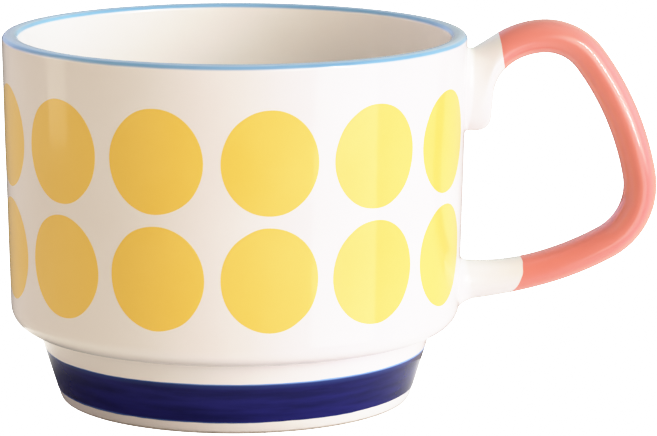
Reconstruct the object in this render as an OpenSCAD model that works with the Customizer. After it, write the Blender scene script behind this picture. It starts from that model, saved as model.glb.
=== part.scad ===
// Stacking mug in glazed stoneware: a straight cup that steps in to a narrower foot, and a hooked
// handle luted to it with slip. Coloured glazes lie on the clay as thin layers: a rim band, two rows
// of dots, a foot band and a sleeve round the handle.
// Origin: on the cup's axis, in the plane of the foot ring. +Z is up and the handle points along +X.

/* [Cup] */
// Outer radius at the lip
rim_r = 45; // [43:0.5:46]
// Height of the clay from the table to the lip
cup_h = 71.2; // [70.8:0.1:73]
// Thickness of the wall
wall_t = 3.2; // [2.8:0.1:3.6]
// How far the wall leans out from vertical, in degrees
wall_lean = 1.3; // [0.5:0.1:2]
// Thickness of the floor
floor_t = 4.2; // [3.5:0.1:5]
// Radius of the two edges of the lip
lip_edge_r = 1.1; // [0.6:0.1:1.3]
// Radius of the inside corner between wall and floor
inner_corner_r = 7; // [4:0.5:9]

/* [Foot] */
// Height of the step under the shoulder
step_z = 14.4; // [13.5:0.1:14.8]
// Radius of the foot where it meets the step
step_r = 38.7; // [37:0.1:39]
// Radius of the shoulder's round, from the wall to the step
shoulder_r = 4.1; // [3:0.1:4.2]
// Outer radius at the bottom of the foot
foot_r = 34.5; // [33:0.1:35]
// Width of the flat ring that the mug rests on
ring_w = 2.6; // [2:0.1:4]
// Depth of the hollow inside the foot ring
recess_d = 2; // [1.2:0.1:2.5]
// Radius of the foot's bottom edges
foot_edge_r = 0.9; // [0.5:0.1:1.1]

/* [Handle] */
// Thickness of the handle in its own plane
handle_t = 6.4; // [5.5:0.1:7]
// Width of the handle across its plane
handle_w = 9.4; // [8:0.1:10]
// Height of the lower root's centre
lower_root_z = 22.2; // [22:0.1:23]
// Extra thickness that the handle gains towards its lower root
root_swell = 1.6; // [0.8:0.1:1.8]
// Length of handle over which the lower root swells
swell_len = 16; // [8:1:20]

/* [Slip joints] */
// Radius of the slip fillet round each root
fillet_r = 1.8; // [1:0.1:2]
// Thickness of the film of slip between root and wall
slip_t = 0.3; // [0.2:0.1:0.5]

/* [Coloured glazes] */
// Thickness of a coloured glaze layer
glaze_t = 0.2; // [0.15:0.05:0.3]
// Where the rim band ends on the lip's two round edges, in degrees up from level
rim_band_turn = 8; // [0:1:40]
// Lower edge of the foot band
foot_band_low = 2.3; // [1.5:0.1:4]
// Upper edge of the foot band
foot_band_high = 10.3; // [7:0.1:12]
// Width of a dot
dot_w = 18.3; // [12:0.1:19]
// Height of a dot
dot_h = 19.7; // [12:0.1:20]
// Places round the cup in each row, one of which the handle takes
dot_places = 13; // [9:1:13]
// Height of the upper row's centres
upper_row_z = 53.2; // [52:0.1:56]
// Height of the lower row's centres
lower_row_z = 31.3; // [30:0.1:32]
// Number of the handle section where its sleeve starts, counted from the lower root
sleeve_first = 5; // [3:1:8]
// Number of sections of the upper root that its sleeve covers
sleeve_root = 3; // [0:1:5]

/* [Hidden] */
$fn = 96;

// Clay and glaze colours
white_glaze = [0.95, 0.93, 0.90];
slip_white = [0.88, 0.86, 0.82];
sky_blue = [0.50, 0.71, 0.85];
yolk_yellow = [0.96, 0.80, 0.38];
navy_blue = [0.13, 0.12, 0.38];
coral_pink = [0.93, 0.50, 0.43];

// Points on one rounded corner of an outline
corner_points = 8;
// Points round one section of the handle, and distance between two sections
section_points = 28;
section_step = 2.2;
// Sections across the upper root, and over the face of each root
root_sections = 15;
face_sizes = [0.04, 0.35, 0.7];
// Points round one dot, and half the angle of wall that one dot is cut from
dot_points = 48;
dot_patch = 20;
// Angles at which the inside leaves the shoulder and meets the foot, in degrees
inner_shoulder_turn = 60;
inner_foot_turn = 17;

// A chain is a list of bends [radius, turn] and straights [0, length]. A bend to the right has both
// of its values negative.
// The handle's centre line, from the lower root round to where the upper root begins
arm = [[60.5, 28.4], [12.7, 72.1], [55, 26.4], [11, 56.7], [15.5, 21.4]];
// The upper root's two sides from there: the lower one runs down the wall before it turns in to it
root_low_side = [[9.4, 21], [8.6, 40], [0, 4.4], [-2.6, -86], [0, 3.4]];
root_high_side = [[15.8, 6], [0, 7.3]];

// ---- outlines of the cup ----

// Points on an arc, with angles in degrees counted from +X
function arc(center, r, from, to, n = corner_points) =
    [for (i = [0:n]) let (a = from + (to - from) * i / n) center + r * [cos(a), sin(a)]];

// Outer radius of the wall at a height
function wall_r(z) = rim_r - (cup_h - z) * tan(wall_lean);

// The foot's side is a cone from its bottom edge up to the step
foot_lean = atan((step_r - foot_r) / (step_z - foot_edge_r));
foot_bottom = arc([foot_r - foot_edge_r, foot_edge_r], foot_edge_r, -90, -foot_lean);
foot_start = foot_bottom[corner_points];
function foot_outer_r(z) =
    foot_start[0] + (z - foot_start[1]) * (step_r - foot_start[0]) / (step_z - foot_start[1]);

// Outer side, from the foot's bottom edge up to the top of the shoulder
shoulder_z = step_z + shoulder_r;
shoulder_center = [wall_r(shoulder_z) - shoulder_r, shoulder_z];
outer_side = concat(foot_bottom, [[step_r, step_z]], arc(shoulder_center, shoulder_r, -90, -wall_lean));

// Outer radius at a height on the wall or the shoulder
function side_r(z) = z >= shoulder_z ? wall_r(z)
    : shoulder_center[0] + sqrt(pow(shoulder_r, 2) - pow(shoulder_z - max(z, step_z), 2));

// The lip, grown outwards by extra: a flat top between two round edges, which start and end at given angles
function lip(from, to, extra = 0) = concat(
    arc([rim_r - lip_edge_r, cup_h - lip_edge_r], lip_edge_r + extra, from, 90),
    arc([rim_r - wall_t + lip_edge_r, cup_h - lip_edge_r], lip_edge_r + extra, 90, to));

// Inner side: it follows the wall down and closes in over the foot
floor_z = recess_d + floor_t;
inner_wall_r = wall_r(shoulder_z) - wall_t;
inner_floor_r = foot_outer_r(floor_z) - wall_t;
inner_side = concat(
    arc([inner_wall_r - shoulder_r, shoulder_z + wall_t], shoulder_r, -wall_lean, -inner_shoulder_turn),
    arc([inner_floor_r - inner_corner_r, floor_z + inner_corner_r], inner_corner_r, -inner_foot_turn, -90),
    [[0, floor_z]]);

// Underside: the floor's bottom and the inner edge of the foot ring
ring_inner_r = foot_r - foot_edge_r - ring_w;
underside = concat(
    [[0, recess_d], [ring_inner_r - recess_d, recess_d]],
    arc([ring_inner_r, foot_edge_r], foot_edge_r, 180, 270));

// ---- places along a chain ----

// A place is [distance from the cup's axis, height, heading in degrees]
function bend(p, r, turn) = [
    p[0] + r * (sin(p[2] + turn) - sin(p[2])),
    p[1] + r * (cos(p[2]) - cos(p[2] + turn)),
    p[2] + turn,
];

function link_len(link) = link[0] == 0 ? link[1] : link[0] * link[1] * PI / 180;

function along_link(p, link, s) = link[0] == 0
    ? [p[0] + s * cos(p[2]), p[1] + s * sin(p[2]), p[2]]
    : bend(p, link[0], s / link[0] * 180 / PI);

function chain_len(chain, i = 0) = i == len(chain) ? 0 : link_len(chain[i]) + chain_len(chain, i + 1);

// The place at distance s along a chain that starts at p
function along(p, chain, s, i = 0) = let (d = link_len(chain[i]))
    i == len(chain) - 1 || s <= d ? along_link(p, chain[i], s)
    : along(along_link(p, chain[i], d), chain, s - d, i + 1);

// A place moved sideways to the left of its heading
function beside(p, d) = [p[0] - d * sin(p[2]), p[1] + d * cos(p[2]), p[2]];

// ---- sections of the handle ----

// An oval ring between two places, with half its width across the handle's plane
function oval(left, right, half_w) = [for (j = [0:section_points - 1])
    let (a = 360 * j / section_points, c = (1 + cos(a)) / 2)
    [right[0] + (left[0] - right[0]) * c, half_w * sin(a), right[1] + (left[1] - right[1]) * c]];

root_x = wall_r(lower_root_z);
arm_start = [root_x, lower_root_z, 0];
arm_len = chain_len(arm);
arm_steps = ceil(arm_len / section_step);

// Half the thickness at distance s along the arm: constant, but swollen near the lower root
function half_t(s) = (handle_t + root_swell * pow(max(0, 1 - s / swell_len), 2)) / 2;

function arm_section(s, grow = 0) = let (p = along(arm_start, arm, s), d = half_t(s) + grow)
    oval(beside(p, d), beside(p, -d), handle_w / 2 + grow);

// A section of the upper root, at its own distance along each of the root's two sides
arm_end = along(arm_start, arm, arm_len);
low_start = beside(arm_end, half_t(arm_len));
high_start = beside(arm_end, -half_t(arm_len));
low_len = chain_len(root_low_side);
high_len = chain_len(root_high_side);
function root_oval(low_s, high_s, grow) = oval(
    beside(along(low_start, root_low_side, low_s), grow),
    beside(along(high_start, root_high_side, high_s), -grow),
    handle_w / 2 + grow);

// Sections from the end of the arm, at t = 0, to where the slip fillet ends, at t = 1
function root_section(t, grow = 0) = root_oval(t * (low_len - fillet_r), t * (high_len - fillet_r), grow);

// A ring laid on the cup's side: every point keeps its side and height, and stands off by off
function on_wall(ring, off = 0) =
    [for (p = ring) [sqrt(pow(side_r(p[2]) + off, 2) - pow(p[1], 2)), p[1], p[2]]];

// A ring drawn together towards its own centre, or grown, as seen along X
function middle(ring) = (ring[0] + ring[section_points / 2]) / 2;
function resized(ring, size) = [for (p = ring) middle(ring) + size * (p - middle(ring))];
function grown(ring, extra) = let (c = middle(ring)) [for (p = ring)
    let (d = norm([p[1] - c[1], p[2] - c[2]])) c + (p - c) * (d + extra) / d];

// The rings that close a root's face on the wall, from the centre outwards
function face_rings(ring, off = 0) = [for (size = face_sizes) on_wall(resized(ring, size), off)];

function reversed(list) = [for (i = [len(list) - 1:-1:0]) list[i]];

lower_outline = arm_section(0);
upper_outline = root_oval(low_len, high_len, 0);
// The handle's sections next to each root, where the slip fillet ends
lower_collar = arm_section(fillet_r);
upper_collar = root_section(1);

handle_rings = concat(
    face_rings(lower_outline, slip_t), [on_wall(lower_outline, slip_t), lower_collar],
    [for (i = [2:arm_steps]) arm_section(arm_len * i / arm_steps)],
    [for (i = [1:root_sections]) root_section(i / root_sections)],
    [on_wall(upper_outline, slip_t)], reversed(face_rings(upper_outline, slip_t)));

// ---- solids through rings ----

// Side faces between neighbouring rings of n points; ring_pairs holds the pairs of ring numbers
function side_faces(ring_pairs, n) = [for (pair = ring_pairs, j = [0:n - 1])
    let (k = (j + 1) % n, low = pair[0] * n, high = pair[1] * n)
    each [[low + j, low + k, high + k], [low + j, high + k, high + j]]];

// A closed solid through a list of rings
module skin(rings) {
    n = len(rings[0]);
    m = len(rings);
    polyhedron(
        points = [for (ring = rings) each ring],
        faces = concat(
            [[for (j = [n - 1:-1:0]) j]],
            [[for (j = [0:n - 1]) (m - 1) * n + j]],
            side_faces([for (i = [0:m - 2]) [i, i + 1]], n)),
        convexity = 8);
}

// A closed tube between outer and inner rings
module sleeve(outer, inner) {
    m = len(outer);
    polyhedron(
        points = [for (ring = concat(outer, reversed(inner))) each ring],
        faces = side_faces([for (i = [0:2 * m - 1]) [i, (i + 1) % (2 * m)]], len(outer[0])),
        convexity = 8);
}

// Film of slip behind a root, and the fillet round it that ends on the handle at collar
module slip_joint(outline, collar) {
    foot = on_wall(outline);
    spread = on_wall(grown(outline, fillet_r));
    skin(concat(
        face_rings(outline),
        [for (i = [0:corner_points - 1]) let (a = 90 * i / corner_points)
            foot + (spread - foot) * (1 - sin(a)) + (collar - foot) * (1 - cos(a))],
        [collar, on_wall(outline, slip_t)],
        reversed(face_rings(outline, slip_t))));
}

// ---- clay pieces and slip joints ----

module cup_body() {
    color(white_glaze) rotate_extrude() polygon(concat(
        outer_side, lip(-wall_lean, 180 - wall_lean), inner_side, underside));
}

module handle() {
    color(white_glaze) skin(handle_rings);
}

module upper_slip_joint() {
    color(slip_white) slip_joint(reversed(upper_outline), reversed(upper_collar));
}

module lower_slip_joint() {
    color(slip_white) slip_joint(lower_outline, lower_collar);
}

// ---- coloured glaze layers ----

module rim_glaze_band() {
    color(sky_blue) rotate_extrude() polygon(concat(
        lip(rim_band_turn, 180 - rim_band_turn, glaze_t),
        reversed(lip(rim_band_turn, 180 - rim_band_turn))));
}

// One dot on the +X side: a piece of thin shell cut out by an oval prism
module dot(row_z) {
    low_z = row_z - dot_h;
    high_z = row_z + dot_h;
    intersection() {
        rotate_extrude(angle = 2 * dot_patch, start = -dot_patch) polygon([
            [wall_r(low_z), low_z], [wall_r(low_z) + glaze_t, low_z],
            [wall_r(high_z) + glaze_t, high_z], [wall_r(high_z), high_z]]);
        rotate([90, 0, 90]) linear_extrude(rim_r + 2 * glaze_t) polygon([for (j = [0:dot_points - 1])
            let (a = 360 * j / dot_points) [dot_w / 2 * cos(a), row_z + dot_h / 2 * sin(a)]]);
    }
}

// One ring of dots round height row_z, with the handle's place left out
module dot_row(row_z) {
    color(yolk_yellow) for (i = [1:dot_places - 1]) rotate([0, 0, 360 * i / dot_places]) dot(row_z);
}

module upper_dots() {
    dot_row(upper_row_z);
}

module lower_dots() {
    dot_row(lower_row_z);
}

module foot_glaze_band() {
    low_r = foot_outer_r(foot_band_low);
    high_r = foot_outer_r(foot_band_high);
    color(navy_blue) rotate_extrude() polygon([
        [low_r, foot_band_low], [low_r + glaze_t, foot_band_low],
        [high_r + glaze_t, foot_band_high], [high_r, foot_band_high]]);
}

// Sections of the handle's sleeve, on the arm and on the start of the upper root
function sleeve_sections(grow) = concat(
    [for (i = [sleeve_first:arm_steps]) arm_section(arm_len * i / arm_steps, grow)],
    [for (i = [1:1:sleeve_root]) root_section(i / root_sections, grow)]);

module handle_glaze_sleeve() {
    color(coral_pink) sleeve(sleeve_sections(glaze_t), sleeve_sections(0));
}

cup_body();
handle();
upper_slip_joint();
lower_slip_joint();
rim_glaze_band();
upper_dots();
lower_dots();
foot_glaze_band();
handle_glaze_sleeve();
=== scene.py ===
import math

import bpy
import numpy as np
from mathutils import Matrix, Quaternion, Vector, noise


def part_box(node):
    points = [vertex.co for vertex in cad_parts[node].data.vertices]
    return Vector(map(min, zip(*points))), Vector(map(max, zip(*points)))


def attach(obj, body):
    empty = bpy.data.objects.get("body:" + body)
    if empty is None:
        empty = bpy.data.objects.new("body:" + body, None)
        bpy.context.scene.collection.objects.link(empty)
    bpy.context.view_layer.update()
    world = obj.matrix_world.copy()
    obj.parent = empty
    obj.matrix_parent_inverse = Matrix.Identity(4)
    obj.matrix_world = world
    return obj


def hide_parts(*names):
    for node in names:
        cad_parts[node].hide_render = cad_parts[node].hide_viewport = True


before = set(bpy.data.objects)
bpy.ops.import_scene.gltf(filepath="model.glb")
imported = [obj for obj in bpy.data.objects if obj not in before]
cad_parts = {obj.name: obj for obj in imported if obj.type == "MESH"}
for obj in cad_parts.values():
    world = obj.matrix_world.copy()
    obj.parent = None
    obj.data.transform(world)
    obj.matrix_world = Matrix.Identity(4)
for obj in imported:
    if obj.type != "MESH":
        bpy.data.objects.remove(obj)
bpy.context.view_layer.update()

# The mug stands on its foot ring at the frame's origin, with its handle along +X.
# Every length below is in millimetres until a mesh, a light or the camera is made.
MM = 0.001
BODY = "root"

# ---- driving dimensions, the same as the CAD model's ----

RIM_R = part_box("cup_body")[1].y / MM
# The painted lip stays this far under the top of the CAD model's rim band
LIP_MARGIN = 0.03
CUP_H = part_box("rim_glaze_band")[1].z / MM - LIP_MARGIN
WALL_T = 3.2
WALL_LEAN = math.radians(1.3)
STEP_Z, STEP_R = 14.4, 38.7
SHOULDER_R = 4.1
FOOT_R, FOOT_EDGE_R = 34.5, 0.9
RING_W, RECESS_D, FLOOR_T = 2.6, 2.0, 4.2
HANDLE_T, HANDLE_W = 6.4, 9.4
LOWER_ROOT_Z, ROOT_SWELL, SWELL_LEN = 22.2, 1.6, 16.0
# Bends [radius, turn in degrees] and straights [0, length] of the handle's arm and of its upper root
ARM = [(60.5, 28.4), (12.7, 72.1), (55, 26.4), (11, 56.7), (15.5, 21.4)]
ROOT_LOW_SIDE = [(9.4, 21), (8.6, 40), (0, 4.4), (-2.6, -86), (0, 3.4)]
ROOT_HIGH_SIDE = [(15.8, 6), (0, 7.3)]
# Colour layers. The foot band was brushed a little off level, higher on the handle's side.
RIM_BAND_H, RIM_BAND_INSIDE = 1.05, 1.0
FOOT_BAND_LOW, FOOT_BAND_HIGH, FOOT_BAND_TILT = 2.3, 10.3, 0.17
DOT_W, DOT_H, DOT_PLACES = 18.3, 19.7, 13
UPPER_ROW_Z, LOWER_ROW_Z = 53.2, 31.3

# ---- mesh resolution ----

TURN_STEPS = 288
PATH_STEP = 1.0
ARC_STEP = math.radians(7)
SECTION_POINTS = 72
ARM_STEP, SLEEVE_STEP = 0.6, 0.8
FILLET_STEPS = 16
DOT_POINTS, DOT_RINGS = 96, 14
SHARP_ANGLE = math.radians(25)


# ---- meshes ----

def new_object(name, data):
    thing = bpy.data.objects.new(name, data)
    bpy.context.scene.collection.objects.link(thing)
    return thing


def flat_object(name, vertices, faces):
    """An object from vertices in millimetres."""
    mesh = bpy.data.meshes.new(name)
    mesh.from_pydata([tuple(v) for v in np.asarray(vertices) * MM], [], faces)
    mesh.update()
    return new_object(name, mesh)


def mesh_object(name, vertices, faces):
    """A smooth object whose sharp turns stay sharp."""
    piece = flat_object(name, vertices, faces)
    piece.data.polygons.foreach_set("use_smooth", [True] * len(piece.data.polygons))
    piece.data.set_sharp_from_angle(angle=SHARP_ANGLE)
    return piece


def quad_rows(rows, columns, closed_rows):
    """Quads between neighbouring rows of a grid whose columns close on themselves."""
    faces = []
    for i in range(rows if closed_rows else rows - 1):
        a, b = i * columns, (i + 1) % rows * columns
        for j in range(columns):
            k = (j + 1) % columns
            faces.append((a + j, a + k, b + k, b + j))
    return faces


def closed_rings(name, rings):
    """A ring-shaped solid: rings of equal length whose last one joins the first."""
    rings = np.asarray(rings)
    faces = quad_rows(rings.shape[0], rings.shape[1], True)
    return mesh_object(name, rings.reshape(-1, 3), faces)


def capped_rings(name, rings, first_tip, last_tip):
    """A solid through rings, closed by a fan at each end."""
    rings = np.asarray(rings)
    rows, columns = rings.shape[:2]
    faces = quad_rows(rows, columns, False)
    first, last = rows * columns, rows * columns + 1
    top = (rows - 1) * columns
    for j in range(columns):
        k = (j + 1) % columns
        faces.append((first, k, j))
        faces.append((last, top + j, top + k))
    return mesh_object(name, np.vstack([rings.reshape(-1, 3), first_tip, last_tip]), faces)


# ---- the cup's outline ----

def wall_r(z):
    return RIM_R - (CUP_H - z) * math.tan(WALL_LEAN)


def rounded(corners):
    """A path through corners (x, z, radius), with each corner rounded and long straights divided."""
    points = [np.array(corners[0][:2], float)]
    for before, corner, after in zip(corners, corners[1:], corners[2:]):
        here = np.array(corner[:2], float)
        u = np.array(before[:2]) - here
        v = np.array(after[:2]) - here
        u, v = u / np.linalg.norm(u), v / np.linalg.norm(v)
        half = math.acos(np.clip(u @ v, -1, 1)) / 2
        reach = corner[2] / math.tan(half)
        middle = here + (u + v) / np.linalg.norm(u + v) * corner[2] / math.sin(half)
        start = here + u * reach - middle
        steps = max(3, math.ceil((math.pi - 2 * half) / ARC_STEP))
        side = 1 if u[0] * v[1] - u[1] * v[0] < 0 else -1
        for i in range(steps + 1):
            a = side * (math.pi - 2 * half) * i / steps
            swung = (start[0] * math.cos(a) - start[1] * math.sin(a),
                     start[0] * math.sin(a) + start[1] * math.cos(a))
            points.append(middle + swung)
    points.append(np.array(corners[-1][:2], float))
    path = [points[0]]
    for a, b in zip(points, points[1:]):
        n = max(1, math.ceil(np.linalg.norm(b - a) / PATH_STEP))
        path += [a + (b - a) * i / n for i in range(1, n + 1)]
    return np.array(path)


# The lip rises by its crown from two round edges to a round crest
LIP_EDGE_R, LIP_CREST_R, LIP_CROWN = 1.1, 1.5, 0.22
LIP_CORNERS = [
    (RIM_R, CUP_H - LIP_CROWN, LIP_EDGE_R),
    (RIM_R - WALL_T / 2, CUP_H, LIP_CREST_R),
    (RIM_R - WALL_T, CUP_H - LIP_CROWN, LIP_EDGE_R),
]
# Inside: the foot of the wall, the ledge over the step, and the floor
INNER_WALL_Z = 19
LEDGE_R, LEDGE_Z = 34.0, 13.6
INNER_FLOOR_R, INNER_FLOOR_Z = 31.6, RECESS_D + FLOOR_T
# Under the foot: the glaze stops this high, and the bare ring reaches down to the table
RING_INNER_R = FOOT_R - FOOT_EDGE_R - RING_W
GLAZE_STOP_Z = 0.28
# Height of the hand-made wave and of the turning rings, which are on all that lies outside a radius
WAVE_HEIGHT, TURNING_HEIGHT = 0.045, 0.010
RIPPLE_R = STEP_R * 0.9


def ripple(angle, z):
    """How far the clay stands off its true surface: faint turning rings and a slow hand-made wave."""
    place = Vector((math.cos(angle) * 1.6, math.sin(angle) * 1.6, z * 0.05))
    rings = Vector((math.cos(angle) * 0.5, math.sin(angle) * 0.5, z * 0.3))
    return WAVE_HEIGHT * noise.noise(place) + TURNING_HEIGHT * noise.noise(rings)


def turned(path, angle):
    """A path's points turned to an angle round the cup's axis.

    The ripple is on both sides of the wall, and dies away down the foot."""
    c, s = math.cos(angle), math.sin(angle)
    out = []
    for r, z in path:
        if r > RIPPLE_R:
            r += ripple(angle, z) * min(1.0, z / STEP_Z)
        out.append((r * c, r * s, z))
    return out


def turn_angles():
    return [2 * math.pi * i / TURN_STEPS for i in range(TURN_STEPS)]


def make_cup():
    """The glazed cup: outside, lip, inside and the hollow under the foot in one closed surface."""
    path = rounded([
        (0, RECESS_D, 0), (RING_INNER_R - 1.6, RECESS_D, 1.0), (RING_INNER_R - 0.6, GLAZE_STOP_Z, 0.4),
        (FOOT_R - 0.2, GLAZE_STOP_Z, 0.55), (STEP_R, STEP_Z, 0.45), (wall_r(STEP_Z), STEP_Z, SHOULDER_R),
        *LIP_CORNERS,
        (wall_r(INNER_WALL_Z) - WALL_T, INNER_WALL_Z, 5.5), (LEDGE_R, LEDGE_Z, 3.5),
        (INNER_FLOOR_R, INNER_FLOOR_Z, 6.5), (0, INNER_FLOOR_Z, 0),
    ])
    ring_path = path[1:-1]
    columns = [turned(ring_path, a) for a in turn_angles()]
    rings = np.array(columns).transpose(1, 0, 2)
    return capped_rings("cup", rings, (0, 0, path[0][1]), (0, 0, path[-1][1]))


def make_foot_ring():
    """The bare clay ring under the foot, a hair lower than the glaze that stops short of it."""
    path = rounded([
        (FOOT_R - 2, 1.2, 0), (RING_INNER_R - 0.3, 0.9, 0.2), (RING_INNER_R - 0.05, 0.0, 0.35),
        (FOOT_R - 0.35, 0.0, 0.45), (FOOT_R - 0.05, 1.0, 0.1), (FOOT_R - 2, 1.2, 0),
    ])[:-1]
    return closed_rings("foot_ring", [turned(path, a) for a in turn_angles()])


# ---- the handle ----

def link_length(link):
    return link[1] if link[0] == 0 else link[0] * math.radians(link[1])


def chain_length(chain):
    return sum(link_length(link) for link in chain)


def along(place, chain, s):
    """The place (x, z, heading) at distance s along a chain that starts at a place."""
    for i, link in enumerate(chain):
        d = s if i == len(chain) - 1 else min(s, link_length(link))
        x, z, h = place
        if link[0] == 0:
            place = (x + d * math.cos(h), z + d * math.sin(h), h)
        else:
            turn = d / link[0]
            place = (x + link[0] * (math.sin(h + turn) - math.sin(h)),
                     z + link[0] * (math.cos(h) - math.cos(h + turn)), h + turn)
        s -= d
        if s <= 0:
            break
    return place


def beside(place, d):
    """A place moved to the left of its heading, towards the finger gap."""
    return (place[0] - d * math.sin(place[2]), place[1] + d * math.cos(place[2]), place[2])


ARM_START = (wall_r(LOWER_ROOT_Z), LOWER_ROOT_Z, 0.0)
ARM_LEN = chain_length(ARM)
LOW_LEN = chain_length(ROOT_LOW_SIDE)
HIGH_LEN = chain_length(ROOT_HIGH_SIDE)
ROOT_LEN = (LOW_LEN + HIGH_LEN) / 2
ROOT_END = ARM_LEN + ROOT_LEN
# Both ends of the handle widen a little towards the wall, the lower one over this length
LOWER_FLARE, LOWER_FLARE_LEN, UPPER_FLARE = 0.05, 6.0, 0.06


def half_thickness(s):
    return (HANDLE_T + ROOT_SWELL * max(0.0, 1 - s / SWELL_LEN) ** 2) / 2


ARM_END = along(ARM_START, ARM, ARM_LEN)
LOW_START = beside(ARM_END, half_thickness(ARM_LEN))
HIGH_START = beside(ARM_END, -half_thickness(ARM_LEN))


def section_angles():
    return [2 * math.pi * j / SECTION_POINTS for j in range(SECTION_POINTS)]


def handle_point(s, a, grow=0.0):
    """A point of the handle's surface: s runs along it, and a round it from the finger-gap side.

    Below 0, s runs straight into the wall. Past the arm's length, it runs on over the upper root,
    whose end on the wall is at ROOT_END."""
    if s <= ARM_LEN:
        x, z, heading = along(ARM_START, ARM, max(s, 0.0))
        place = (x + min(s, 0.0), z, heading)
        half = half_thickness(max(s, 0.0)) + grow
        left, right = beside(place, half), beside(place, -half)
        flare = 1 + LOWER_FLARE * max(0.0, 1 - s / LOWER_FLARE_LEN) ** 2
    else:
        t = (s - ARM_LEN) / ROOT_LEN
        left = beside(along(LOW_START, ROOT_LOW_SIDE, t * LOW_LEN), grow)
        right = beside(along(HIGH_START, ROOT_HIGH_SIDE, t * HIGH_LEN), -grow)
        flare = 1 + UPPER_FLARE * t * t
    c = (1 + math.cos(a)) / 2
    y = (HANDLE_W / 2 * flare + grow) * math.sin(a)
    return np.array((right[0] + (left[0] - right[0]) * c, y, right[1] + (left[1] - right[1]) * c))


def handle_ring(s, grow=0.0):
    return np.array([handle_point(s, a, grow) for a in section_angles()])


def side_r(z):
    """Outer radius of the cup on its wall or its shoulder."""
    low = STEP_Z + SHOULDER_R
    if z >= low:
        return wall_r(z)
    drop = low - max(z, STEP_Z)
    return wall_r(low) - SHOULDER_R + math.sqrt(SHOULDER_R ** 2 - drop ** 2)


def on_cup(point, off=0.0):
    """The point of the cup's side straight behind a point, as seen along X."""
    r = side_r(point[2]) + off
    return np.array((math.sqrt(r * r - point[1] ** 2), point[1], point[2]))


# How deep the two ends of the handle's mesh go into the wall
LOWER_END_DEPTHS = (1.2, 0.5)
UPPER_END_DEPTH, UPPER_CAP_DEPTH = 0.6, 0.5


def make_handle():
    """The handle from inside one wall contact to the other, in one loft."""
    rings = [handle_ring(-depth) for depth in LOWER_END_DEPTHS]
    steps = math.ceil(ROOT_END / ARM_STEP)
    rings += [handle_ring(ROOT_END * i / steps) for i in range(steps + 1)]
    rings[-1] = np.array([on_cup(p, -UPPER_END_DEPTH) for p in rings[-1]])
    last_tip = rings[-1].mean(0) - (UPPER_CAP_DEPTH, 0, 0)
    return capped_rings("handle_clay", rings, rings[0].mean(0), last_tip)


# Fillet radii on the finger-gap side, on the flanks and on the far side
LOWER_FILLET, UPPER_FILLET = (1.5, 2.0, 3.2), (1.3, 1.7, 1.9)
# The fillet's edges run on this far, this deep under the surface
FILLET_TUCK, FILLET_SINK = 0.4, 0.06


def fillet_r(a, inner, side, outer):
    """A fillet's radius round a root, from its finger-gap side over its flanks to its far side."""
    c = math.cos(a)
    return side + ((inner - side) if c > 0 else (outer - side)) * c * c


def make_fillet(name, root_s, step, radii):
    """A concave fillet of slip between the wall and the handle, round one root's outline.

    It meets both surfaces along their own direction and ends just under them.
    step(a, d) is how far along the handle a point lies that is d away from the wall."""
    outline = handle_ring(root_s)
    tangent = np.roll(outline, -1, axis=0) - np.roll(outline, 1, axis=0)
    away = np.stack([np.zeros(len(outline)), tangent[:, 2], -tangent[:, 1]], axis=1)
    away /= np.linalg.norm(away, axis=1)[:, None]
    if (away[0] * (outline[0] - outline.mean(0))).sum() < 0:
        away = -away
    columns = []
    for a, p, out in zip(section_angles(), outline, away):
        r = fillet_r(a, *radii)
        foot, spread = on_cup(p), on_cup(p + out * r)
        collar = handle_point(root_s + step(a, r), a)
        core = foot - (FILLET_TUCK, 0, 0) - FILLET_TUCK * out
        column = [core, on_cup(p + out * (r + FILLET_TUCK), -FILLET_SINK)]
        for b in np.linspace(0, math.pi / 2, FILLET_STEPS + 1):
            column.append(foot + (spread - foot) * (1 - math.sin(b)) + (collar - foot) * (1 - math.cos(b)))
        column.append(handle_point(root_s + step(a, r + FILLET_TUCK), a, -FILLET_SINK))
        columns.append(column)
    return closed_rings(name, columns)


def make_fillets():
    """The upper and the lower fillet."""
    def up_the_arm(a, d):
        return d

    def down_the_root(a, d):
        return -ROOT_LEN * d / (HIGH_LEN + (LOW_LEN - HIGH_LEN) * (1 + math.cos(a)) / 2)

    lower = make_fillet("lower_slip_fillet", 0.0, up_the_arm, LOWER_FILLET)
    upper = make_fillet("upper_slip_fillet", ROOT_END, down_the_root, UPPER_FILLET)
    return upper, lower


# ---- the colour layers ----

# A layer stands a hair proud, its edge dips just under the surface, and its back lies well under
LAYER_LIFT, EDGE_SINK, LAYER_SINK = 0.018, 0.03, 0.12
EDGE_WIDTH = 0.05
# Points over each band's section
RIM_BAND_POINTS, FOOT_BAND_POINTS = 30, 16
# How much a dot's outline wobbles, as a part of its size
DOT_WOBBLE = 0.006


def wave(x, seed, scale=1.0):
    """A smooth random number, about -1 to 1, along a line."""
    return noise.noise(Vector((x * scale, seed * 7.31, seed * 3.17))) * 2


def round_wave(angle, seed, scale):
    """The same round a circle, so that it closes on itself."""
    return noise.noise(Vector((math.cos(angle) * scale, math.sin(angle) * scale, seed * 5.7))) * 2


def brushed(angle, seed, slow, fine):
    """How far a brushed edge strays: its slow and its fine wave are each (height, scale)."""
    return slow[0] * round_wave(angle, seed, slow[1]) + fine[0] * round_wave(angle, seed + 1, fine[1])


def shell_section(path):
    """A thin closed section that lies on a path: its two ends sink just under the surface."""
    path = np.asarray(path)
    direction = np.gradient(path, axis=0)
    direction /= np.linalg.norm(direction, axis=1)[:, None]
    normal = np.stack([direction[:, 1], -direction[:, 0]], axis=1)
    n = len(path)
    reach = np.minimum(np.arange(n), np.arange(n)[::-1])
    lift = np.where(reach > 0, LAYER_LIFT, -EDGE_SINK)[:, None]
    return np.vstack([path + normal * lift, (path - normal * LAYER_SINK)[::-1]])


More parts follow.
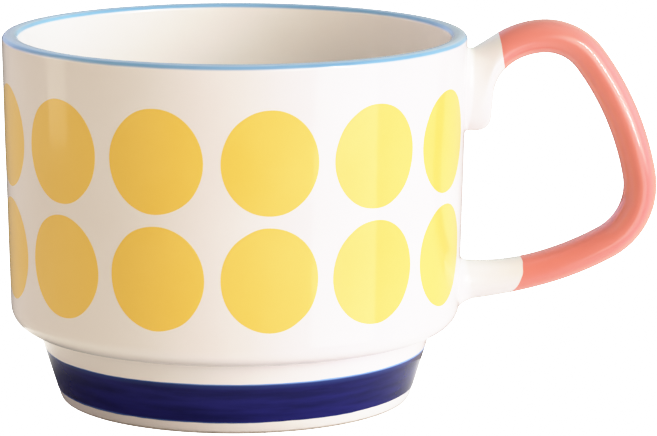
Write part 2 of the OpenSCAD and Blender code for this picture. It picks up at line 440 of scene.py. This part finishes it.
def resampled(path, start, end, n):
    """n points of a path between two distances along it, and one more past each end for the edge."""
    lengths = np.concatenate([[0], np.cumsum(np.linalg.norm(np.diff(path, axis=0), axis=1))])
    at = np.linspace(start, end, n)
    at = np.concatenate([[start - EDGE_WIDTH], at, [end + EDGE_WIDTH]])
    return np.stack([np.interp(at, lengths, path[:, 0]), np.interp(at, lengths, path[:, 1])], axis=1)


def make_rim_band():
    """The blue band over the lip, with brushed lower edges inside and outside."""
    # How far down the wall's two sides the path over the lip starts and ends
    spare = 6
    low = CUP_H - spare
    path = rounded([(wall_r(low), low, 0), *LIP_CORNERS, (wall_r(low) - WALL_T, low, 0)])
    total = np.linalg.norm(np.diff(path, axis=0), axis=1).sum()
    columns = []
    for a in turn_angles():
        start = spare - RIM_BAND_H + brushed(a, 1, (0.05, 4), (0.03, 11))
        end = total - spare + RIM_BAND_INSIDE + brushed(a, 3, (0.10, 4), (0.05, 11))
        columns.append(turned(shell_section(resampled(path, start, end, RIM_BAND_POINTS)), a))
    return closed_rings("rim_band", columns)


def foot_side_r(z):
    """Outer radius of the foot, which leans outwards in a straight line from its round edge to the step."""
    low_r, low_z = FOOT_R - 0.04, 0.63
    return low_r + (z - low_z) * (STEP_R - low_r) / (STEP_Z - low_z)


def make_foot_band():
    """The navy band round the foot, brushed on the turning wheel."""
    columns = []
    for a in turn_angles():
        tilt = FOOT_BAND_TILT * math.cos(a)
        low = FOOT_BAND_LOW + tilt + brushed(a, 5, (0.05, 3), (0.04, 14))
        high = FOOT_BAND_HIGH + tilt + brushed(a, 7, (0.05, 3), (0.05, 12))
        heights = [low - EDGE_WIDTH, *np.linspace(low, high, FOOT_BAND_POINTS), high + EDGE_WIDTH]
        path = [(foot_side_r(z), z) for z in heights]
        columns.append(turned(shell_section(path), a))
    return closed_rings("foot_band", columns)


def dot_vertices(angle, z):
    """One dot's rings: the front from the middle out, the edge, and the back to the middle."""
    fractions = [(i + 1) / DOT_RINGS for i in range(DOT_RINGS)]
    front = [(f, LAYER_LIFT) for f in fractions]
    back = [(f, -LAYER_SINK) for f in fractions[::-2]]
    edge_f = 1 + 2 * EDGE_WIDTH / DOT_W
    rings = []
    for f, off in front + [(edge_f, -EDGE_SINK)] + back:
        ring = []
        for j in range(DOT_POINTS):
            a = 2 * math.pi * j / DOT_POINTS
            edge = 1 + DOT_WOBBLE * wave(math.cos(a) * 1.5 + math.sin(a), angle + z, 1.3)
            height = z + DOT_H / 2 * f * edge * math.sin(a)
            r = wall_r(height)
            turn = angle + DOT_W / 2 * f * edge * math.cos(a) / r
            r += off + ripple(turn, height)
            ring.append((r * math.cos(turn), r * math.sin(turn), height))
        rings.append(ring)
    return rings


def make_dots(name, row_z):
    """A row of dots: one place in the ring is the handle's."""
    vertices, faces = [], []
    for i in range(1, DOT_PLACES):
        rings = np.array(dot_vertices(2 * math.pi * i / DOT_PLACES, row_z))
        rows, columns = rings.shape[:2]
        base = len(vertices)
        vertices += list(rings.reshape(-1, 3)) + [rings[0].mean(0), rings[-1].mean(0)]
        dot_faces = quad_rows(rows, columns, False)
        front, rear, last = rows * columns, rows * columns + 1, (rows - 1) * columns
        for j in range(columns):
            k = (j + 1) % columns
            dot_faces += [(front, k, j), (rear, last + j, last + k)]
        faces += [tuple(base + v for v in face) for face in dot_faces]
    return mesh_object(name, vertices, faces)


# The coral starts this far up the arm, slanting and bulging round the handle, and ends this far into the root
SLEEVE_START, SLEEVE_SLANT, SLEEVE_BULGE = 12.1, 1.8, 1.0
SLEEVE_ROOT_PART = 0.186
SLEEVE_BRUSH = 0.15


def sleeve_ends(a):
    """Where the coral colour starts and ends along the handle, at an angle round it."""
    c = math.cos(a)
    start = SLEEVE_START + SLEEVE_SLANT * c - SLEEVE_BULGE * c * c + SLEEVE_BRUSH * round_wave(a, 11, 1.5)
    end = ARM_LEN + ROOT_LEN * SLEEVE_ROOT_PART + SLEEVE_BRUSH * round_wave(a, 12, 1.5)
    return start, end


def make_sleeve():
    """The coral layer round the handle."""
    rows = math.ceil(ARM_LEN / SLEEVE_STEP)
    columns = []
    for a in section_angles():
        start, end = sleeve_ends(a)
        at = np.linspace(start, end, rows)
        first = handle_point(start - EDGE_WIDTH, a, -EDGE_SINK)
        last = handle_point(end + EDGE_WIDTH, a, -EDGE_SINK)
        outer = [first] + [handle_point(s, a, LAYER_LIFT) for s in at] + [last]
        inner = [handle_point(s, a, -LAYER_SINK) for s in at[::-1]]
        columns.append(outer + inner)
    return closed_rings("handle_sleeve", columns)


# ---- materials ----

def new_material(name):
    material = bpy.data.materials.new(name)
    material.use_nodes = True
    nodes = material.node_tree.nodes
    return material, nodes, material.node_tree.links, nodes["Principled BSDF"]


def noise_at(nodes, links, place, scale, detail):
    """Noise with a number of cells a metre, read at a place."""
    texture = nodes.new("ShaderNodeTexNoise")
    texture.inputs["Scale"].default_value = scale
    texture.inputs["Detail"].default_value = detail
    links.new(place, texture.inputs["Vector"])
    return texture.outputs["Fac"]


def two_tones(nodes, links, factor, low, low_colour, high, high_colour):
    """A colour that runs from one tone to another as a factor goes from low to high."""
    ramp = nodes.new("ShaderNodeValToRGB")
    first, last = ramp.color_ramp.elements
    first.position, first.color = low, (*low_colour, 1)
    last.position, last.color = high, (*high_colour, 1)
    links.new(factor, ramp.inputs["Fac"])
    return ramp.outputs["Color"]


def add_bump(nodes, links, shader, height, strength, distance):
    bump = nodes.new("ShaderNodeBump")
    bump.inputs["Strength"].default_value = strength
    bump.inputs["Distance"].default_value = distance * MM
    links.new(height, bump.inputs["Height"])
    links.new(bump.outputs["Normal"], shader.inputs["Normal"])


def height_ramp(nodes, links, place, low, high, stops, waviness):
    """Tints between two heights, with a wavering edge: each stop is (height, colour, strength)."""
    axes = nodes.new("ShaderNodeSeparateXYZ")
    links.new(place, axes.inputs["Vector"])
    moved = nodes.new("ShaderNodeMath")
    moved.operation = "MULTIPLY_ADD"
    moved.inputs[1].default_value = waviness * MM
    links.new(noise_at(nodes, links, place, 60, 3), moved.inputs[0])
    links.new(axes.outputs["Z"], moved.inputs[2])
    spread = nodes.new("ShaderNodeMapRange")
    spread.inputs["From Min"].default_value = (low + waviness / 2) * MM
    spread.inputs["From Max"].default_value = (high + waviness / 2) * MM
    links.new(moved.outputs["Value"], spread.inputs["Value"])
    ramp = nodes.new("ShaderNodeValToRGB")
    elements = ramp.color_ramp.elements
    while len(elements) < len(stops):
        elements.new(0.5)
    for element, (height, colour, strength) in zip(elements, stops):
        element.position = (height - low) / (high - low)
        element.color = (*colour, strength)
    links.new(spread.outputs["Result"], ramp.inputs["Fac"])
    return ramp


def glaze(name, colour, deep, roughness=0.1, gloss=0.5, drift=(1, 1, 1), drift_scale=45, tints=None):
    """A glossy glaze whose colour drifts between two tones, with a faintly rippled surface.

    tints is (low, high, stops, waviness), as height_ramp takes them."""
    material, nodes, links, shader = new_material(name)
    shader.inputs["IOR"].default_value = 1.5
    shader.inputs["Specular IOR Level"].default_value = gloss
    place = nodes.new("ShaderNodeTexCoord").outputs["Object"]
    stretch = nodes.new("ShaderNodeMapping")
    stretch.inputs["Scale"].default_value = drift
    links.new(place, stretch.inputs["Vector"])
    clouds = noise_at(nodes, links, stretch.outputs["Vector"], drift_scale, 4)
    base = two_tones(nodes, links, clouds, 0.35, deep, 0.65, colour)
    if tints:
        ramp = height_ramp(nodes, links, place, *tints)
        mix = nodes.new("ShaderNodeMix")
        mix.data_type = "RGBA"
        links.new(ramp.outputs["Alpha"], mix.inputs["Factor"])
        links.new(base, mix.inputs["A"])
        links.new(ramp.outputs["Color"], mix.inputs["B"])
        base = mix.outputs["Result"]
    links.new(base, shader.inputs["Base Color"])
    skin = noise_at(nodes, links, place, 260, 2)
    polish = nodes.new("ShaderNodeMapRange")
    polish.inputs["To Min"].default_value = roughness * 0.8
    polish.inputs["To Max"].default_value = roughness * 1.2
    links.new(skin, polish.inputs["Value"])
    links.new(polish.outputs["Result"], shader.inputs["Roughness"])
    add_bump(nodes, links, shader, skin, 0.02, 1)
    return material


def bare_clay(name):
    """Matt clay with a fine grain."""
    material, nodes, links, shader = new_material(name)
    shader.inputs["Roughness"].default_value = 0.85
    place = nodes.new("ShaderNodeTexCoord").outputs["Object"]
    grain = noise_at(nodes, links, place, 1400, 6)
    base = two_tones(nodes, links, grain, 0, CLAY_DARK, 1, CLAY_LIGHT)
    links.new(base, shader.inputs["Base Color"])
    add_bump(nodes, links, shader, grain, 0.3, 0.3)
    return material


def matt(name, colour, roughness):
    """A plain surface without any gloss, for the stage."""
    material, nodes, links, shader = new_material(name)
    shader.inputs["Base Color"].default_value = (*colour, 1)
    shader.inputs["Roughness"].default_value = roughness
    shader.inputs["Specular IOR Level"].default_value = 0.0
    return material, nodes, links, shader


CREAM, CREAM_DEEP = (0.86, 0.80, 0.74), (0.84, 0.775, 0.71)
# A painted sheen: the lavender-grey that the lip's crest shows where it reflects the room above
CREST_SHEEN = (0.45, 0.50, 0.61)
HALO, HALO_EDGE = (0.10, 0.22, 0.60), (0.3, 0.5, 0.85)
CLAY_DARK, CLAY_LIGHT = (0.40, 0.33, 0.26), (0.62, 0.54, 0.45)
# The blue thins out to the clay's cream at its lower edge; on the crest it turns to a lavender painted sheen,
# which stands for the room's reflection on the lip
RIM_TINTS = [
    (CUP_H - 1.0, CREAM, 1), (CUP_H - 0.62, CREAM, 0),
    # The lavender on the crest is a painted sheen
    (CUP_H - 0.30, CREST_SHEEN, 0), (CUP_H - 0.10, CREST_SHEEN, 0.8),
]
# The navy bleeds into a light blue line along its two edges
FOOT_TINTS = [
    (FOOT_BAND_LOW, HALO, 0.4), (FOOT_BAND_LOW + 0.25, HALO, 0),
    (FOOT_BAND_HIGH - 1.2, HALO, 0), (FOOT_BAND_HIGH - 0.3, HALO, 0.14),
    (FOOT_BAND_HIGH, HALO_EDGE, 0.9),
]
WHITE = glaze("white_glaze", CREAM, CREAM_DEEP)
BLUE = glaze("rim_blue", (0.24, 0.43, 0.62), (0.195, 0.375, 0.56),
             tints=(CUP_H - 1.1, CUP_H, RIM_TINTS, 0.25))
YELLOW = glaze("dot_yellow", (0.93, 0.61, 0.12), (0.91, 0.585, 0.10))
NAVY = glaze("band_navy", (0.0135, 0.013, 0.118), (0.0075, 0.0075, 0.070), gloss=0.1,
             drift=(1, 1, 9), drift_scale=70,
             tints=(FOOT_BAND_LOW - 0.5, FOOT_BAND_HIGH + 0.5, FOOT_TINTS, 0.2))
CORAL = glaze("handle_coral", (0.83, 0.26, 0.20), (0.81, 0.235, 0.175), roughness=0.06)
CLAY = bare_clay("bare_stoneware")


def place_piece(piece, material, slot, *nodes):
    """Gives a piece its material and the body it rides on, and hides the CAD nodes it replaces; the slot is
    not used.
    """
    piece.data.materials.append(material)
    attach(piece, BODY)
    if nodes:
        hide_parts(*nodes)


place_piece(make_cup(), WHITE, "white_glaze", "cup_body")
place_piece(make_foot_ring(), CLAY, "bare_stoneware")
place_piece(make_handle(), WHITE, "white_glaze", "handle")
upper_fillet, lower_fillet = make_fillets()
place_piece(upper_fillet, WHITE, "slip", "upper_slip_joint")
place_piece(lower_fillet, WHITE, "slip", "lower_slip_joint")
place_piece(make_rim_band(), BLUE, "rim_blue", "rim_glaze_band")
place_piece(make_dots("upper_dot_row", UPPER_ROW_Z), YELLOW, "dot_yellow", "upper_dots")
place_piece(make_dots("lower_dot_row", LOWER_ROW_Z), YELLOW, "dot_yellow", "lower_dots")
place_piece(make_foot_band(), NAVY, "band_navy", "foot_glaze_band")
place_piece(make_sleeve(), CORAL, "handle_coral", "handle_glaze_sleeve")


# ---- floor, light and camera ----

# The glow that a pale table sends up
TABLE_COLOUR = (1.3, 1.25, 1.15)
FLOOR_HALF = 6000
# The shade's middle, just under the floor and a little to the left of the foot
SHADE_PLACE = (-7.0, -1.0, -0.2)
# Radii where the shade starts to fade and where it ends
SHADE_CORE, SHADE_R = 33.0, 54.0
SHADE_POINTS = 96


def make_floor():
    """A white floor that only the camera sees: the light it would send up is the world's lower half."""
    corners = [(x * FLOOR_HALF, y * FLOOR_HALF, 0) for x, y in ((-1, -1), (1, -1), (1, 1), (-1, 1))]
    floor = flat_object("floor", corners, [(0, 1, 2, 3)])
    material, _, _, shader = matt("floor_white", (0.15, 0.15, 0.15), 0.9)
    shader.inputs["Emission Color"].default_value = (1, 1, 1, 1)
    shader.inputs["Emission Strength"].default_value = 3.0
    floor.data.materials.append(material)
    floor.visible_diffuse = False
    floor.visible_glossy = False


def make_contact_shade():
    """The mug's own shade on the floor: the glaze near the foot sees it, and the camera does not."""
    vertices = [(0, 0, 0)]
    for i in range(SHADE_POINTS):
        a = 2 * math.pi * i / SHADE_POINTS
        vertices.append((SHADE_R * math.cos(a), SHADE_R * math.sin(a), 0))
    faces = [(0, 1 + i, 1 + (i + 1) % SHADE_POINTS) for i in range(SHADE_POINTS)]
    shade = flat_object("contact_shade", vertices, faces)
    shade.location = Vector(SHADE_PLACE) * MM
    material, nodes, links, shader = matt("shade_grey", (0.32, 0.31, 0.30), 1.0)
    place = nodes.new("ShaderNodeTexCoord")
    reach = nodes.new("ShaderNodeVectorMath")
    reach.operation = "LENGTH"
    links.new(place.outputs["Object"], reach.inputs[0])
    fade = nodes.new("ShaderNodeMapRange")
    fade.interpolation_type = "SMOOTHSTEP"
    fade.inputs["From Min"].default_value = SHADE_CORE * MM
    fade.inputs["From Max"].default_value = SHADE_R * MM
    links.new(reach.outputs["Value"], fade.inputs["Value"])
    links.new(fade.outputs["Result"], shader.inputs["Emission Strength"])
    shader.inputs["Emission Color"].default_value = (*TABLE_COLOUR, 1)
    shade.data.materials.append(material)
    shade.visible_camera = False


def direction(azimuth):
    """The horizontal direction at an azimuth: 0 is the camera's side, and 90 the handle's."""
    a = math.radians(azimuth)
    return Vector((math.sin(a), -math.cos(a), 0))


def mirror_card(name, azimuth, distance, middle, width, height, radiance, lean=0.0, colour=(1, 1, 1)):
    """A panel that is seen only in the glaze: it faces the mug, with its middle at a height.

    Its power follows from its size, so that it is as bright as its radiance says."""
    light = bpy.data.lights.new(name, "AREA")
    light.shape = "RECTANGLE"
    light.size, light.size_y = width * MM, height * MM
    light.energy = 4 * light.size * light.size_y * radiance
    light.color = colour
    lamp = new_object(name, light)
    place = direction(azimuth) * distance + Vector((0, 0, middle))
    lamp.location = place * MM
    lamp.rotation_mode = "QUATERNION"
    facing = (Vector((0, 0, CUP_H / 2)) - place).to_track_quat("-Z", "Y")
    lamp.rotation_quaternion = facing @ Quaternion((0, 0, 1), math.radians(lean))
    lamp.visible_camera = False
    lamp.visible_diffuse = False


# Soft glows of the world: which half it lights, azimuth, elevation and reach in degrees, colour
GLOWS = [
    # The key light, on the camera's right
    ("room", 45, 10, 44, (6.2, 5.85, 5.6)),
    # A dim room all round, with the side light on the camera's left as its last glow
    ("room", 90, 12, 50, (0, 0.5, 1.3)),
    ("room", 135, 12, 50, (0.65, 0.55, 0.45)),
    ("room", 180, 12, 50, (0.45, 0.4, 0.35)),
    ("room", 225, 12, 50, (0.7, 0.8, 1.3)),
    ("room", 270, 12, 50, (1.75, 1.45, 1.2)),
    # A faint ceiling
    ("room", 30, 50, 60, (0.2, 0.1, 0)),
    ("room", 90, 50, 60, (0.4, 0.5, 0.5)),
    ("room", 150, 50, 60, (0, 0.3, 0.3)),
    # The table round the mug, and the table under it
    ("table", 0, -15, 60, (0.3, 0.3, 0.1)),
    ("table", 60, -15, 60, (0.3, 0.2, 0.9)),
    ("table", 120, -15, 60, (1.2, 1.0, 0.8)),
    ("table", 240, -15, 60, (0.7, 0.65, 0.6)),
    ("table", 0, -90, 75, TABLE_COLOUR),
]
# The room's and the table's halves meet in this soft band about the horizon
HORIZON = 0.04


def soft_glow(nodes, links, place, half, azimuth, elevation, reach, colour):
    """One glow: full in its own direction, and gone at its reach from there or in the other half."""
    rise = math.radians(elevation)
    nearness = nodes.new("ShaderNodeVectorMath")
    nearness.operation = "DOT_PRODUCT"
    nearness.inputs[1].default_value = direction(azimuth) * math.cos(rise) + Vector((0, 0, math.sin(rise)))
    links.new(place, nearness.inputs[0])
    spread = nodes.new("ShaderNodeMapRange")
    spread.interpolation_type = "SMOOTHSTEP"
    spread.inputs["From Min"].default_value = math.cos(math.radians(reach))
    links.new(nearness.outputs["Value"], spread.inputs["Value"])
    level = nodes.new("ShaderNodeMath")
    level.operation = "MULTIPLY"
    links.new(spread.outputs["Result"], level.inputs[0])
    links.new(half, level.inputs[1])
    glow = nodes.new("ShaderNodeVectorMath")
    glow.operation = "SCALE"
    glow.inputs[0].default_value = colour
    links.new(level.outputs["Value"], glow.inputs["Scale"])
    return glow.outputs["Vector"]


def make_world():
    """The sum of the soft glows, each kept to its own half of the world."""
    world = bpy.data.worlds.new("studio")
    bpy.context.scene.world = world
    world.use_nodes = True
    nodes, links = world.node_tree.nodes, world.node_tree.links
    place = nodes.new("ShaderNodeTexCoord").outputs["Generated"]
    axes = nodes.new("ShaderNodeSeparateXYZ")
    links.new(place, axes.inputs["Vector"])
    halves = {}
    for half, limits in (("room", (-HORIZON, HORIZON)), ("table", (HORIZON, -HORIZON))):
        side = nodes.new("ShaderNodeMapRange")
        side.inputs["From Min"].default_value, side.inputs["From Max"].default_value = limits
        links.new(axes.outputs["Z"], side.inputs["Value"])
        halves[half] = side.outputs["Result"]
    glows = [soft_glow(nodes, links, place, halves[half], *rest) for half, *rest in GLOWS]
    total = glows[0]
    for glow in glows[1:]:
        add = nodes.new("ShaderNodeVectorMath")
        links.new(total, add.inputs[0])
        links.new(glow, add.inputs[1])
        total = add.outputs["Vector"]
    links.new(total, nodes["Background"].inputs["Color"])


CAMERA_PLACE = (-16.5, -674.4, 164.55)
CAMERA_AIM = (18.17, -0.93, 34.77)
CAMERA_ROLL = math.radians(0.2)
CAMERA_LENS = 192.8


def make_camera():
    """A long lens in front of the mug, a little above it."""
    camera = bpy.data.cameras.new("camera")
    camera.sensor_width = 36
    camera.lens = CAMERA_LENS
    camera.clip_start, camera.clip_end = 0.01, 100
    viewer = new_object("camera", camera)
    viewer.location = Vector(CAMERA_PLACE) * MM
    aim = Vector(CAMERA_AIM) * MM
    viewer.rotation_mode = "QUATERNION"
    roll = Quaternion((0, 0, 1), CAMERA_ROLL)
    viewer.rotation_quaternion = (aim - viewer.location).to_track_quat("-Z", "Y") @ roll
    bpy.context.scene.camera = viewer


# The film's tone curve between black and white: (tone in, tone out)
FILM_CURVE = [(0.2, 0.4), (0.37, 0.735), (0.5, 0.905), (0.65, 0.97)]
FILM_WHITE = 2


def set_film():
    """Bright tones roll off gently, as on a print, instead of clipping."""
    view = bpy.context.scene.view_settings
    view.view_transform = "Standard"
    view.use_curve_mapping = True
    curves = view.curve_mapping
    curves.white_level = (FILM_WHITE, FILM_WHITE, FILM_WHITE)
    curves.extend = "HORIZONTAL"
    combined = curves.curves[3]
    combined.points[0].location = (0, 0)
    combined.points[1].location = (1, 1)
    for tone_in, tone_out in FILM_CURVE:
        combined.points.new(tone_in, tone_out)
    curves.update()


make_floor()
make_contact_shade()
make_world()
# A tall thin lamp draws the line along the handle; two soft cards whiten the glaze on the right and the left
mirror_card("strip", 52, 690, 286, 36, 460, 36.0, lean=15)
mirror_card("card_front", 48, 161, 20, 90, 100, 1.7)
mirror_card("side_left", -90, 181, 100, 46, 170, 0.8, colour=(1.0, 0.9, 0.8))
make_camera()
set_film()
